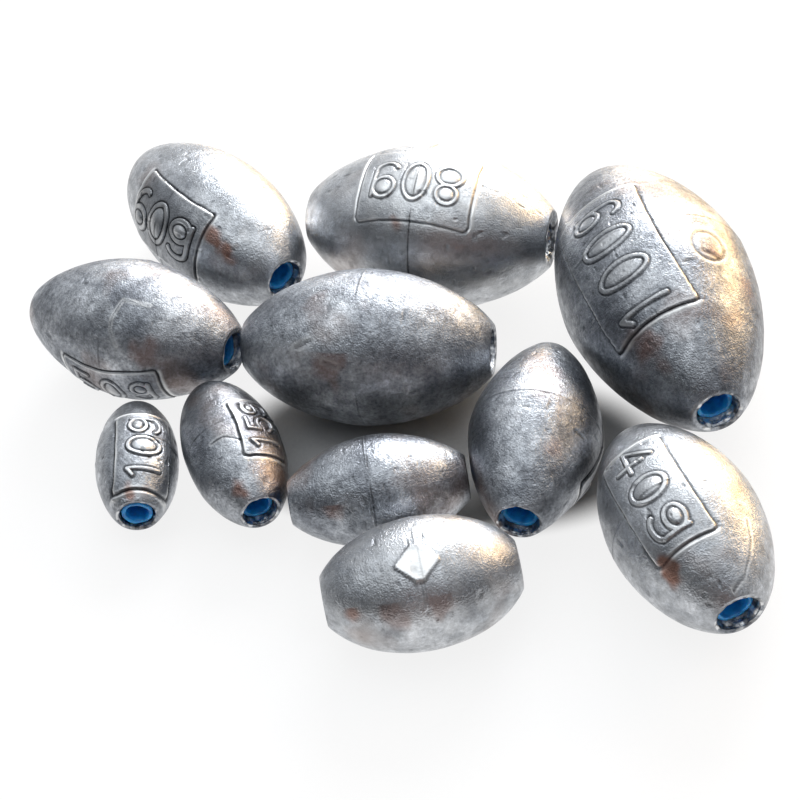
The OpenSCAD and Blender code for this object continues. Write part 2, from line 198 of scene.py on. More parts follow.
addNode(tree, "ShaderNodeOutputMaterial", links={"Surface": surface.outputs["BSDF"]})
print("materials made")


def valueNoise(points, cell, seed):
    # random values on a lattice of the given cell, joined by smooth steps along x, y and z
    scaled = points / cell + 1000.0
    base = np.floor(scaled).astype(np.int64)
    part = scaled - base
    part = part * part * (3 - 2 * part)
    total = np.zeros(points.shape[:-1])
    for dx in (0, 1):
        for dy in (0, 1):
            for dz in (0, 1):
                key = ((base[..., 0] + dx) * 73856093) ^ ((base[..., 1] + dy) * 19349663) \
                    ^ ((base[..., 2] + dz) * 83492791) ^ (seed * 2654435761)
                key = (key ^ (key >> 13)) * 1274126177
                value = ((key ^ (key >> 16)) & 0xFFFF) / 65535.0
                weight = (part[..., 0] if dx else 1 - part[..., 0]) \
                    * (part[..., 1] if dy else 1 - part[..., 1]) \
                    * (part[..., 2] if dz else 1 - part[..., 2])
                total += weight * value
    return total


# the noise patterns of the pieces: cell in millimetres and what is added to the sinker's seed
patterns = {
    "seam": (3.0, 5), "edge": (1.3, 9), "worn": (1.7, 19), "scar": (1.1, 13), "stain": (1.1, 23),
    "dent": (5.0, 0), "smallDent": (2.1, 1), "ripple": (0.9, 2), "pit": (0.8, 3), "rub": (0.9, 15),
    "faceSag": (0.7, 11), "faceChips": (0.45, 17), "faceCrease": (0.5, 20), "faceRub": (0.5, 21),
    "tubeCut": (0.9, 31),
}


def patternNoise(points, pattern, name, side=0):
    # the value noise of one pattern, with the sum of the letters of the sinker's name as its seed
    cell, more = patterns[pattern]
    return valueNoise(points, cell, sum(ord(letter) for letter in name) + more + side)


def smoothStep(low, high, value):
    # 0 below low, 1 above high, and 3 k^2 - 2 k^3 between them
    k = np.clip((value - low) / (high - low), 0, 1)
    return k * k * (3 - 2 * k)


def bell(distance, middle, width):
    # 1 at the middle and exp(-((d - middle) / width)^2) around it
    return np.exp(-((distance - middle) / width) ** 2)


# lines that follow an edge: how far outside it their middle lies and their half width, both in
# millimetres. A foot carries painted shade, a brow and the lip's highlight line carry painted
# highlight, a groove is cut and a lip raised
edgeLines = {
    "seamFoot": (0.16, 0.10), "panelFoot": (0.15, 0.14), "panelBrowHighlight": (-0.08, 0.13),
    "panelGroove": (0.16, 0.12), "lip": (0.38, 0.16), "lipHighlight": (0.38, 0.2),
    "figureFoot": (0.14, 0.12), "figureGroove": (0.15, 0.11), "scarFoot": (0.1, 0.12),
}


def crowdedSteps(count, low, high, crowdLow, crowdHigh, crowding):
    # steps from low to high whose density is crowding times greater between the two crowd limits
    fine = np.linspace(low, high, 4001)
    middle = (crowdLow + crowdHigh) / 2
    half = (crowdHigh - crowdLow) / 2
    density = 1 + (crowding - 1) * smoothStep(-half * 1.25, -half * 0.95, -np.abs(fine - middle))
    total = np.concatenate([[0], np.cumsum((density[1:] + density[:-1]) / 2)])
    return np.interp(np.linspace(0, total[-1], count), total, fine)


def arcPoints(cx, cy, rx, ry, start, end, count=14):
    # points on an ellipse about (cx, cy) from one angle to another
    angles = np.radians(np.linspace(start, end, count))
    return np.stack([cx + rx * np.cos(angles), cy + ry * np.sin(angles)], 1)


# centre lines of the raised figures, in shares of their height, about their middle
figureLines = {
    "0": [arcPoints(0, 0, 0.22, 0.42, 0, 360, 30)],
    "1": [np.array([[-0.13, 0.27], [0.02, 0.42], [0.02, -0.42]])],
    "2": [np.concatenate([arcPoints(0, 0.2, 0.22, 0.22, 175, -30),
                          [[-0.22, -0.42], [0.24, -0.42]]])],
    "3": [arcPoints(0, 0.21, 0.2, 0.21, 160, -90), arcPoints(0, -0.21, 0.22, 0.21, 90, -160)],
    "4": [np.array([[0.06, 0.42], [-0.24, -0.14], [0.24, -0.14]]),
          np.array([[0.1, 0.2], [0.1, -0.42]])],
    "5": [np.concatenate([[[0.2, 0.42], [-0.17, 0.42], [-0.2, 0.04]],
                          arcPoints(0, -0.16, 0.22, 0.26, 125, -150)])],
    "6": [np.concatenate([arcPoints(0.04, -0.14, 0.27, 0.56, 75, 178),
                          arcPoints(0, -0.2, 0.22, 0.22, 180, 540, 26)])],
    "8": [arcPoints(0, 0.21, 0.18, 0.2, 0, 360, 26), arcPoints(0, -0.2, 0.22, 0.22, 0, 360, 26)],
    "g": [arcPoints(0, 0.16, 0.2, 0.22, 0, 360, 26),
          np.concatenate([[[0.2, 0.34], [0.2, -0.2]], arcPoints(0, -0.24, 0.2, 0.18, 0, -160)])],
}
# lead swells a little inside each closed figure: middle and half axes of the swelling
figureIslands = {
    "0": [(0, 0, 0.2, 0.38)], "6": [(0, -0.2, 0.19, 0.19)], "g": [(0, 0.16, 0.17, 0.19)],
    "8": [(0, 0.21, 0.15, 0.17), (0, -0.2, 0.19, 0.19)],
}


def strokeDistance(x, y, line):
    # least distance from every point to the straight pieces of a centre line
    nearest = np.full(x.shape, 1e9)
    for (ax, ay), (bx, by) in zip(line[:-1], line[1:]):
        span = (bx - ax) ** 2 + (by - ay) ** 2
        along = np.clip(((x - ax) * (bx - ax) + (y - ay) * (by - ay)) / max(span, 1e-12), 0, 1)
        gap = np.hypot(x - ax - along * (bx - ax), y - ay - along * (by - ay))
        nearest = np.minimum(nearest, gap)
    return nearest


def gridMesh(name, grid, material, body, node, attributes=None):
    # joins a grid of points that closes in both directions into one mesh with faces outwards
    rows, columns = grid.shape[:2]
    index = np.arange(rows * columns).reshape(rows, columns)
    nextRow = np.roll(index, -1, 0)
    nextColumn = np.roll(index, -1, 1)
    nextBoth = np.roll(nextRow, -1, 1)
    quads = np.stack([index, nextRow, nextBoth, nextColumn], -1).reshape(-1, 4)
    mesh = bpy.data.meshes.new(name)
    mesh.vertices.add(rows * columns)
    mesh.vertices.foreach_set("co", (grid.reshape(-1) * millimetre).astype(np.float32))
    mesh.loops.add(quads.size)
    mesh.loops.foreach_set("vertex_index", quads.reshape(-1).astype(np.int32))
    mesh.polygons.add(len(quads))
    mesh.polygons.foreach_set("loop_start", np.arange(0, quads.size, 4, dtype=np.int32))
    mesh.update(calc_edges=True)
    mesh.polygons.foreach_set("use_smooth", np.ones(len(quads), bool))
    for key, values in (attributes or {}).items():
        layer = mesh.attributes.new(key, "FLOAT", "POINT")
        layer.data.foreach_set("value", values.reshape(-1).astype(np.float32))
    mesh.validate()
    mesh.materials.append(material)
    piece = bpy.data.objects.new(name, mesh)
    bpy.context.scene.collection.objects.link(piece)
    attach(piece, body)
    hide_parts(node)
    return piece


def placedOnTable(grid, name):
    # turns the axis from x to the sinker's heading and moves it to the sinker's middle
    centre, heading = places[name]
    turned = np.empty_like(grid)
    turned[..., 0] = grid[..., 0] * math.cos(heading) - grid[..., 1] * math.sin(heading) + centre[0]
    turned[..., 1] = grid[..., 0] * math.sin(heading) + grid[..., 1] * math.cos(heading) + centre[1]
    turned[..., 2] = grid[..., 2] + centre[2]
    return turned


# what a sinker has where its own dictionary says nothing else, in millimetres. strokeShare is of
# a figure's height, endDrop of the panel's rise. seam is the painted shade beside the seam, scar
# how much of the gate's scar is left, grime and bright darken or rub the whole skin, panelGrime
# paints shade over the panel and drawn is how strongly panel and figures are outlined with painted
# shade and painted highlight
common = {
    "rise": 0.25, "flatness": 0.05, "endDrop": 0.4, "lip": 0.07, "wall": 0.07, "groove": 0.08,
    "figureRise": 0.17, "strokeShare": 0.085, "wide": 1.36, "shift": 0.0, "dome": 0.22,
    "seamRise": 0.07, "seamWidth": 0.36, "seamAt": 0.0, "seam": 0.4, "scar": 0.15,
    "grime": 0.0, "bright": 0.0, "dull": 0.0, "drawn": 0.95, "panelGrime": 0.0,
    "recess": 1.0, "tubeWall": 0.5, "marks": [], "stains": [],
}
# full is the power of the egg's outline and end the width of its cut faces. The panel's middle
# lies along the half length, at a roll in degrees, and turned is a mark that reads the other way.
# pitch and shift place the figures. A mark is a stroke's half width, depth, darkness, brightness
# and way, as places along the axis with their roll. A stain has its place, size and strength
sinkers = {
    "10g": {
        "length": 16.3, "diameter": 9.9, "end": 5.0, "tube": 3.6, "full": 2.03, "gateRoll": 140,
        "mark": "10g", "panel": (10.6, 6.2), "figure": 4.3, "along": 0.2, "roll": 22,
        "turned": True, "wide": 1.75, "stroke": 0.36, "recess": 0.15, "dome": 0.3, "bright": 0.1,
        "stains": [(7.2, -4, 1.3, 0.7), (7.0, 28, 1.0, 0.3)],
    },
    "15g": {
        "length": 20.7, "diameter": 11.6, "end": 4.8, "tube": 3.6, "full": 1.95, "gateRoll": 145,
        "mark": "15g", "panel": (8.6, 5.3), "figure": 3.8, "along": 0.16, "roll": 38,
        "turned": True, "wide": 1.7, "stroke": 0.34, "seam": 0.8, "grime": 0.1, "drawn": 0.78,
        "marks": [(0.14, 0.07, 0.7, 0.3, [(2.4, -26.0), (2.4, -10.0), (3.6, 7.0)])],
        "stains": [(8.8, -23, 1.9, 0.75)],
    },
    "20g": {
        "length": 20.1, "diameter": 12.9, "end": 5.0, "tube": 4.2, "full": 1.75, "gateRoll": 75,
        "mark": "20g", "panel": (11.0, 7.0), "figure": 4.2, "along": 0.0, "roll": 130,
        "turned": False, "seam": 0.8, "seamAt": -0.8,
        "stains": [(-4.8, -54, 1.8, 0.45)],
    },
    "25g": {
        "length": 20.9, "diameter": 14.4, "end": 5.4, "tube": 4.2, "full": 1.95, "gateRoll": -21,
        "mark": "25g", "panel": (12.0, 7.6), "figure": 4.4, "along": 0.0, "roll": 130,
        "turned": False, "scar": 1.0, "seam": 0.3, "bright": 0.27,
        "stains": [(-7.4, -57, 1.6, 0.6), (-3.3, -59, 2.2, 0.35), (1.3, -59, 1.8, 0.3)],
    },
    "30g": {
        "length": 25.4, "diameter": 15.3, "end": 5.2, "tube": 4.2, "full": 1.58, "gateRoll": -125,
        "mark": "30g", "panel": (12.4, 8.0), "figure": 4.6, "along": 0.05, "roll": 130,
        "turned": False, "grime": 0.08,
        "stains": [(6.4, 30, 1.6, 0.2)],
    },
    "40g": {
        "length": 25.6, "diameter": 16.5, "end": 5.6, "tube": 4.2, "full": 1.85, "gateRoll": 140,
        "mark": "40g", "panel": (13.8, 7.2), "figure": 4.8, "along": 0.0, "roll": -28,
        "turned": False, "wide": 1.5, "stroke": 0.42, "pitch": 4.5, "shift": -0.4,
        "dome": 0.34, "bright": 0.22, "drawn": 0.82,
        "marks": [(0.16, 0.08, 0.6, 0.7,
                   [(12.2, -8.0), (11.4, 15.5), (9.9, 26.5), (8.4, 32.5), (6.4, 33.5)])],
        "stains": [(7.9, -51, 2.0, 0.8), (3.0, 32, 1.8, 0.3)],
    },
    "50g": {
        "length": 28.0, "diameter": 17.5, "end": 5.8, "tube": 4.2, "full": 1.7, "gateRoll": -35,
        "mark": "50g", "panel": (13.2, 7.0), "figure": 5.0, "along": 0.05, "roll": -108,
        "turned": False, "rise": 0.12, "grime": 0.05, "dull": 1.0,
        "marks": [(0.11, -0.03, 0.0, 0.5,
                   [(5.3, -18.0), (2.0, -20.5), (1.4, -37.0), (1.5, -47.0), (2.5, -58.5)])],
        "stains": [(6.0, -59, 2.6, 0.35)],
    },
    "60g_a": {
        "length": 32.6, "diameter": 18.0, "end": 5.4, "tube": 4.2, "full": 1.9, "gateRoll": 120,
        "mark": "60g", "panel": (14.0, 9.4), "figure": 6.0, "along": 0.03, "roll": -60,
        "turned": False, "wide": 1.8, "stroke": 0.56, "pitch": 4.5, "shift": -0.6,
        "dome": 0.45, "bright": 0.15, "panelGrime": 0.3,
        "stains": [(11.4, -47, 2.0, 0.9), (8.8, -41, 1.5, 0.8)],
    },
    "60g_b": {
        "length": 30.1, "diameter": 19.0, "end": 6.1, "tube": 4.2, "full": 1.8, "gateRoll": 75,
        "mark": "60g", "panel": (14.0, 9.4), "figure": 6.0, "along": 0.03, "roll": 130,
        "turned": False, "seam": 0.2, "dull": 0.5,
        "marks": [(0.3, 0.08, 0.3, 0.6, [(-6.9, -48.0), (-5.2, -43.0)]),
                  (0.22, 0.06, 0.3, 0.5, [(-3.4, -57.0), (-2.0, -60.0)])],
        "stains": [(-3.0, -58, 3.2, 0.35)],
    },
    "80g": {
        "length": 31.5, "diameter": 21.1, "end": 7.2, "tube": 4.2, "full": 1.75, "gateRoll": 130,
        "mark": "80g", "panel": (14.2, 9.8), "figure": 6.0, "along": 0.0, "roll": -18,
        "turned": True, "wide": 1.75, "stroke": 0.36, "pitch": 4.05, "seam": 0.85,
        "drawn": 0.65, "bright": 0.4,
        "stains": [(-1.7, -49, 1.1, 0.6), (12.6, 2, 1.6, 0.3)],
    },
    "100g": {
        "length": 41.8, "diameter": 23.0, "end": 6.0, "tube": 4.2, "full": 1.66, "gateRoll": 130,
        "mark": "100g", "panel": (19.9, 10.8), "figure": 7.2, "along": 0.1, "roll": -32,
        "turned": True, "wide": 1.3, "stroke": 0.46, "pitch": 4.95, "shift": -0.9,
        "dome": 0.16, "grime": 0.19, "drawn": 0.82,
        "marks": [(0.26, 0.14, 0.5, 0.5, [(5.0 + 2.1 * math.cos(turn), 25.0 + 10.5 * math.sin(turn))
                                          for turn in np.linspace(0, 6.3, 25)]),
                  (0.3, 0.10, 0.5, 0.0, [(5.9, 20.0), (6.6, 29.0)])],
        "stains": [(14.2, -46, 3.4, 0.45), (6.0, 27, 1.9, 0.35), (9.3, 50, 2.4, 0.3)],
    },
}
sinkers = {name: {**common, **own} for name, own in sinkers.items()}
farAway = 9.0       # distance that stands for the side of the body which faces away
seenFrom = 0.05     # least cosine between a place and the roll of a panel or scar drawn on it


def bareBody(s, columns, rows, crowdRound=4.0, crowdAlong=2.8, endPower=1.12):
    # a point at place x along the axis and angle a round it lies at (x, r sin a, r cos a), where
    # r = D/2 (1 - |k x / (L/2)|^p)^(1/p) and k lets the outline end at the width of the cut
    # faces. Rows and columns crowd on the panel, and rows at both ends too
    half, radius, power = s["length"] / 2, s["diameter"] / 2, s["full"]
    taper = (1 - (s["end"] / s["diameter"]) ** power) ** (1 / power)
    panelHalf, panelTop = s["panel"][0] / 2, s["panel"][1] / 2
    panelMiddle = s["along"] * half
    spread = math.degrees(math.asin(min(1, panelTop / radius)))
    angles = np.radians(crowdedSteps(columns + 1, s["roll"] - 180, s["roll"] + 180,
                                     s["roll"] - spread, s["roll"] + spread, crowdRound)[:-1])
    steps = crowdedSteps(rows, -half, half, panelMiddle - panelHalf, panelMiddle + panelHalf,
                         crowdAlong)
    steps = half * np.sign(steps) * (1 - (1 - np.abs(steps) / half) ** endPower)
    x, a = np.meshgrid(steps, angles, indexing="ij")
    r = radius * (1 - np.minimum(1, np.abs(x / half) * taper) ** power) ** (1 / power)
    return {"x": x, "a": a, "r": r, "bare": r.copy(), "angles": angles,
            "flat": np.stack([x, r * np.sin(a), r * np.cos(a)], -1),
            "half": half, "radius": radius, "u": x - panelMiddle,
            "crease": np.full_like(r, s["grime"]), "rub": np.full_like(r, s["bright"]),
            "stain": np.zeros_like(r)}


def raiseSeam(skin, s, name, goneAt=0.25, wholeAt=0.6):
    # the parting seam, a low ridge of triangular section that fades and breaks along its way,
    # with a line of painted shade beside it
    off = skin["x"] - s["seamAt"]
    shown = smoothStep(goneAt, wholeAt, patternNoise(skin["flat"], "seam", name))
    ridge = np.clip(1 - np.abs(off) / (s["seamWidth"] / 2), 0, 1)
    skin["r"] += s["seamRise"] * ridge * shown
    skin["crease"] += s["seam"] * shown * bell(off, *edgeLines["seamFoot"])


# the panel's wall, and how the painted shade at its foot, the painted highlight on its brow and its
# groove change at its end walls
panelSettings = {"corner": 0.6, "endRun": 3.5, "endBlend": 0.3, "uneven": 0.10, "shine": 0.85,
                 "endShineLess": 0.3, "endFootIn": 0.10, "endFootThinner": 0.03,
                 "endBrowIn": 0.08, "endGrooveLess": 0.4, "panelShadeBlend": 0.3}


def raisePanel(skin, s, name):
    # a rectangle with round corners, drawn flat over the body at its roll: with q the absolute
    # place less half the size plus the corner, the distance outside it is
    # |max(q, 0)| + min(max(q), 0) - corner. It stands lower at both ends, where it has a lip
    edge, corner = panelSettings, panelSettings["corner"]
    away = skin["a"] - math.radians(s["roll"])
    panelHalf, panelTop = s["panel"][0] / 2, s["panel"][1] / 2
    u, v = skin["u"], skin["bare"] * np.sin(away)
    wander = edge["uneven"] * (patternNoise(skin["flat"], "edge", name) - 0.5)
    qx = np.abs(u) - (panelHalf - corner)
    qy = np.abs(v) - (panelTop - corner)
    outside = (np.hypot(np.maximum(qx, 0), np.maximum(qy, 0))
               + np.minimum(np.maximum(qx, qy), 0) - corner)
    facing = np.cos(away) > seenFrom
    outside = np.where(facing, outside + wander, farAway)
    standing = s["rise"] + s["flatness"] * (skin["radius"] - skin["bare"])
    lowered = s["endDrop"] * smoothStep(panelHalf - edge["endRun"], panelHalf, np.abs(u))
    standing = standing * (1 - lowered)
    skin["r"] += standing * smoothStep(-s["wall"], s["wall"], -outside)
    atEnd = smoothStep(-edge["endBlend"], edge["endBlend"], qx - qy)
    # painted shade at the wall's foot and painted highlight on its brow, then the groove round it
    # and the lip at its ends, which carries a painted highlight
    footAt, footWide = edgeLines["panelFoot"]
    skin["crease"] += s["drawn"] * bell(outside, footAt - edge["endFootIn"] * atEnd,
                                        footWide - edge["endFootThinner"] * atEnd)
    browAt, browWide = edgeLines["panelBrowHighlight"]
    shine = edge["shine"] - edge["endShineLess"] * atEnd
    skin["rub"] += s["drawn"] * shine * bell(outside, browAt - edge["endBrowIn"] * atEnd, browWide)
    skin["rub"] += atEnd * bell(outside, *edgeLines["lipHighlight"])
    deep = s["groove"] * (1 - edge["endGrooveLess"] * atEnd)
    skin["r"] -= deep * bell(outside, *edgeLines["panelGroove"])
    skin["r"] += s["lip"] * atEnd * bell(outside, *edgeLines["lip"])
    # painted shade laid over the whole panel
    skin["crease"] += s["panelGrime"] * smoothStep(0.0, edge["panelShadeBlend"], -outside)
    skin.update(v=v, facing=facing, wander=wander, outside=outside)


# shine brightens the swellings and the stroke tops, partly as rubbed wear and partly as painted
# highlight; dark is the painted shade at the figures' foot
figureSettings = {"shine": 0.45, "dark": 0.85, "groove": 0.8, "wornLeast": 0.4, "wornMore": 0.9,
                  "uneven": 0.9, "boxWide": 0.6, "boxHigh": 0.75}


def raiseFigures(skin, s, name):
    # the mark: every point within half a stroke of a figure's centre line stands up, and closed
    # figures swell inside as 1 - (x / a)^2 - (y / b)^2
    cut = figureSettings
    turn = -1 if s["turned"] else 1
    count = len(s["mark"])
    pitch = s.get("pitch", s["panel"][0] / (count + 0.3))
    width = s.get("stroke", s["figure"] * s["strokeShare"]) / 2
    slim = s["wide"] * pitch / s["figure"]
    ink = np.full(skin["r"].shape, farAway)
    for place, sign in enumerate(s["mark"]):
        across = turn * skin["u"] - s["shift"] - (place - (count - 1) / 2) * pitch
        gx = across / s["figure"]
        gy = turn * skin["v"] / s["figure"]
        near = (np.abs(gx) < cut["boxWide"]) & (np.abs(gy) < cut["boxHigh"]) & skin["facing"]
        if near.any():
            for line in figureLines[sign]:
                gap = strokeDistance(gx[near], gy[near], line * [slim, 1.0]) * s["figure"] - width
                ink[near] = np.minimum(ink[near], gap)
            for cx, cy, rx, ry in figureIslands.get(sign, []):
                island = (1 - ((gx[near] - cx * slim) / (rx * slim)) ** 2
                          - ((gy[near] - cy) / ry) ** 2)
                skin["r"][near] += s["dome"] * np.clip(island, 0, 1)
                # rubbed wear and painted highlight on the swelling
                skin["rub"][near] += cut["shine"] * np.clip(island, 0, 1)
    ink = ink + skin["wander"] * cut["uneven"]
    worn = cut["wornLeast"] + cut["wornMore"] * patternNoise(skin["flat"], "worn", name)
    skin["r"] += s["figureRise"] * worn * smoothStep(-s["wall"] * 0.9, s["wall"] * 0.7, -ink)
    # stroke tops rubbed bright, partly wear and partly painted highlight, with painted shade at
    # their foot
    skin["rub"] += cut["shine"] * worn * smoothStep(-0.05, 0.1, -ink)
    skin["crease"] += cut["dark"] * s["drawn"] * bell(ink, *edgeLines["figureFoot"])
    skin["r"] -= s["groove"] * cut["groove"] * bell(ink, *edgeLines["figureGroove"])


gateSettings = {"middle": -0.2, "size": 1.7, "clip": 2.0, "above": 0.02, "highest": 0.45,
                "uneven": 1.4, "rough": 0.05, "wall": 0.08, "shine": 0.6}


def cutGate(skin, s, name):
    # the gate's scar, a clipped diamond on the seam: a plane cut at height h, so r = h / cos a.
    # Most were hammered down until only a trace is left
    gate, trace = gateSettings, s["scar"]
    away = skin["a"] - math.radians(s["gateRoll"])
    across = skin["bare"] * np.sin(away)
    diamond = (np.abs(skin["x"] - gate["middle"]) + np.abs(across)) / math.sqrt(2) - gate["size"]
    diamond = np.maximum(diamond, np.abs(across) - gate["clip"])
    diamond = np.where(np.cos(away) > seenFrom, diamond + gate["uneven"] * skin["wander"], farAway)
    cut = ((skin["radius"] + gate["above"]) / np.maximum(np.cos(away), 0.3)
           + gate["rough"] * (patternNoise(skin["flat"], "scar", name) - 0.5))
    raised = np.minimum(cut, skin["bare"] + gate["highest"]) - skin["r"]
    skin["r"] += trace * raised * smoothStep(-gate["wall"], gate["wall"], -diamond)
    skin["rub"] += gate["shine"] * trace * smoothStep(0.0, 0.15, -diamond)
    # painted shade round the scar's edge
    skin["crease"] += (0.1 + 0.25 * trace) * bell(diamond, *edgeLines["scarFoot"])
    skin["diamond"] = diamond


def layMarks(skin, s, name, meanRadius=0.9, stainRagged=0.9):
    # cracks, lips and stains, laid by place along the axis and arc round it, which is the roll
    # from the panel's times a mean radius
    reach = skin["radius"] * meanRadius
    arc = reach * (skin["a"] - math.radians(s["roll"]))

    def arcAt(roll):
        return reach * math.radians((roll - s["roll"] + 180) % 360 - 180)

    for thick, depth, dark, bright, way in s["marks"]:
        off = strokeDistance(skin["x"], arc, [(along, arcAt(roll)) for along, roll in way])
        skin["r"] -= depth * bell(off, 0, thick)
        skin["crease"] += dark * bell(off, 0, thick)
        skin["rub"] += bright * bell(off, 1.5 * thick, thick)
    for along, roll, size, strength in s["stains"]:
        off = np.hypot(skin["x"] - along, arc - arcAt(roll)) / size
        ragged = stainRagged * patternNoise(skin["flat"], "stain", name)
        skin["stain"] += strength * smoothStep(0.0, 0.9, 1.5 - off - ragged)


castingSettings = {"dent": 0.10, "smallDent": 0.05, "ripple": 0.03, "rippleStretch": 0.45,
                   "pit": 0.07, "pitFrom": 0.80, "pitTo": 0.93, "pitShade": 0.25,
                   "endRun": 1.2, "endShare": 0.4, "rubLeast": 0.5, "rubMore": 0.8,
                   "freeWithin": 0.5, "stainMost": 0.75}


def unevenCasting(skin, s, name):
    # casting unevenness, always inwards: slow dents, flow ripples and pits, less at the ends.
    # Nothing but panel and scar stands higher than the seam
    cast, flat = castingSettings, skin["flat"]
    dent = (patternNoise(flat, "dent", name) * cast["dent"]
            + patternNoise(flat, "smallDent", name) * cast["smallDent"])
    stretched = flat * np.array([cast["rippleStretch"], 1, 1])
    ripple = patternNoise(stretched, "ripple", name) * cast["ripple"]
    pit = smoothStep(cast["pitFrom"], cast["pitTo"], patternNoise(flat, "pit", name))
    fade = smoothStep(0, cast["endRun"], skin["half"] - np.abs(skin["x"]))
    skin["r"] -= ((dent + ripple + cast["pit"] * pit)
                  * (cast["endShare"] + (1 - cast["endShare"]) * fade))
    near = np.minimum(skin["outside"], skin["diamond"]) < cast["freeWithin"]
    raised = np.where(near, 1.0, 0.0)
    skin["r"] = np.minimum(skin["r"], skin["radius"] + s["seamRise"] + raised)
    # painted shade in the pits
    skin["crease"] = np.clip(skin["crease"] + cast["pitShade"] * pit, 0, 1)
    rubbing = cast["rubLeast"] + cast["rubMore"] * patternNoise(flat, "rub", name)
    skin["rub"] = np.clip(skin["rub"] * rubbing, 0, 1)
    skin["stain"] = np.clip(skin["stain"], 0, cast["stainMost"])


# the way from the outline over the cut face into the bore: share of the way inwards, and depth
faceInwards = np.array([0.2, 0.4, 0.6, 0.75, 0.88, 0.95, 0.98, 1.0, 1.0, 1.0, 1.0])[:, None]
faceDepth = np.array([0.02, 0.03, 0.05, 0.12, 0.25, 0.4, 0.6, 0.8, 1.0, 1.3, 3.0])[:, None]
faceSettings = {"sag": 0.22, "chip": 0.36, "chipFrom": 0.05, "chipTo": 1.2,
                "dark": 0.6, "shine": 0.8, "patchFrom": 0.5, "patchTo": 0.7}


def cutFace(rim, side, skin, s, name):
    # rings from the rim to the bore, sagging towards the middle and chipped round the mouth:
    # a chip moves the ring outwards where the noise is high
    face, angles = faceSettings, skin["angles"]
    rimRadius = np.hypot(rim[:, 1], rim[:, 2])
    radii = rimRadius[None] + (s["tube"] / 2 - rimRadius[None]) * faceInwards
    along = side * (skin["half"] - faceDepth) + np.zeros_like(radii)
    rings = np.stack([along, radii * np.sin(angles), radii * np.cos(angles)], -1)
    rough = patternNoise(rings, "faceSag", name, side) - 0.5
    rings[..., 0] -= (side * np.where(faceInwards < 1, face["sag"], 0.0) * (rough + 0.5)
                      * smoothStep(0.0, 0.4, faceInwards))
    chips = patternNoise(rings, "faceChips", name, side)
    chipped = (faceDepth > face["chipFrom"]) & (faceDepth < face["chipTo"])
    chip = np.where(chipped, face["chip"], 0.0) * (0.4 * rough + 0.2 + 0.6 * chips)
    rings[..., 1] += np.sin(angles) * chip
    rings[..., 2] += np.cos(angles) * chip
    return rings


def leadBody(name, columns, rows):
    # the outline raised by seam, panel, figures and scar and lowered by marks and unevenness,
    # then both cut faces, whose last rings meet inside the bore
    s = sinkers[name]
    skin = bareBody(s, columns, rows)
    for work in (raiseSeam, raisePanel, raiseFigures, cutGate, layMarks, unevenCasting):
        work(skin, s, name)
    x, a, r = skin["x"], skin["a"], skin["r"]
    outer = np.stack([x, r * np.sin(a), r * np.cos(a)], -1)
    mouth = cutFace(outer[-1], 1, skin, s, name)
    tail = cutFace(outer[0], -1, skin, s, name)
    faces = np.concatenate([mouth, tail[::-1]], 0)
    grid = np.concatenate([outer, faces], 0)
    patches = faceSettings["patchFrom"], faceSettings["patchTo"]
    faceCrease = smoothStep(*patches, patternNoise(faces, "faceCrease", name))
    faceRub = smoothStep(*patches, patternNoise(faces, "faceRub", name))
    crease = np.concatenate([skin["crease"], faceSettings["dark"] * faceCrease], 0)
    rub = np.concatenate([skin["rub"], faceSettings["shine"] * faceRub], 0)
    stain = np.concatenate([skin["stain"], np.zeros_like(faceRub)], 0)
    dull = np.full_like(crease, s["dull"])
    piece = gridMesh("castLead_" + name, placedOnTable(grid, name), castLead,
                     "sinker_" + name, "lead_" + name,
                     {"crease": crease, "rub": rub, "stain": stain, "dull": dull})
    return piece


def tubeLiner(name, columns=72, slack=0.015, bevel=0.1, raggedMm=0.35):
    # two nested tubes joined at their ends: outer radius tube/2, inner radius less the wall.
    # The cut ends are ragged, always inwards
    s = sinkers[name]
    outer, inner = s["tube"] / 2 - slack, s["tube"] / 2 - s["tubeWall"]
    half = s["length"] / 2 - s["recess"]
    angles = np.linspace(0, 2 * math.pi, columns, endpoint=False)
    # half profile round the wall, from the outside at the tail to the mouth and back inside
    profile = np.array([
        [-half, outer - bevel], [-half + bevel, outer], [-half + 2, outer], [half - 2, outer],
        [half - bevel, outer], [half, outer - bevel], [half, inner + bevel], [half - 0.12, inner],
        [half - 1, inner], [half - 3, inner], [-half + 3, inner], [-half + 1, inner],
        [-half + 0.12, inner], [-half, inner + bevel]])
    x = profile[:, :1] + np.zeros((1, columns))
    r = profile[:, 1:] + np.zeros((1, columns))
    grid = np.stack([x, r * np.sin(angles), r * np.cos(angles)], -1)
    atEnd = smoothStep(half - 0.5, half - 0.05, np.abs(x))
    grid[..., 0] -= np.sign(x) * atEnd * raggedMm * patternNoise(grid, "tubeCut", name)
    piece = gridMesh("tube_" + name, placedOnTable(grid, name), blueTube,
                     "sinker_" + name, "liner_" + name)
    return piece


bigFrom = 15        # diameter in millimetres from which a body gets the finer grid
gridSizes = {True: (360, 240), False: (280, 200)}       # columns round it and rows along it
for name in sinkers:
    leadBody(name, *gridSizes[sinkers[name]["diameter"] > bigFrom])
    tubeLiner(name)
    print("sinker made", name)

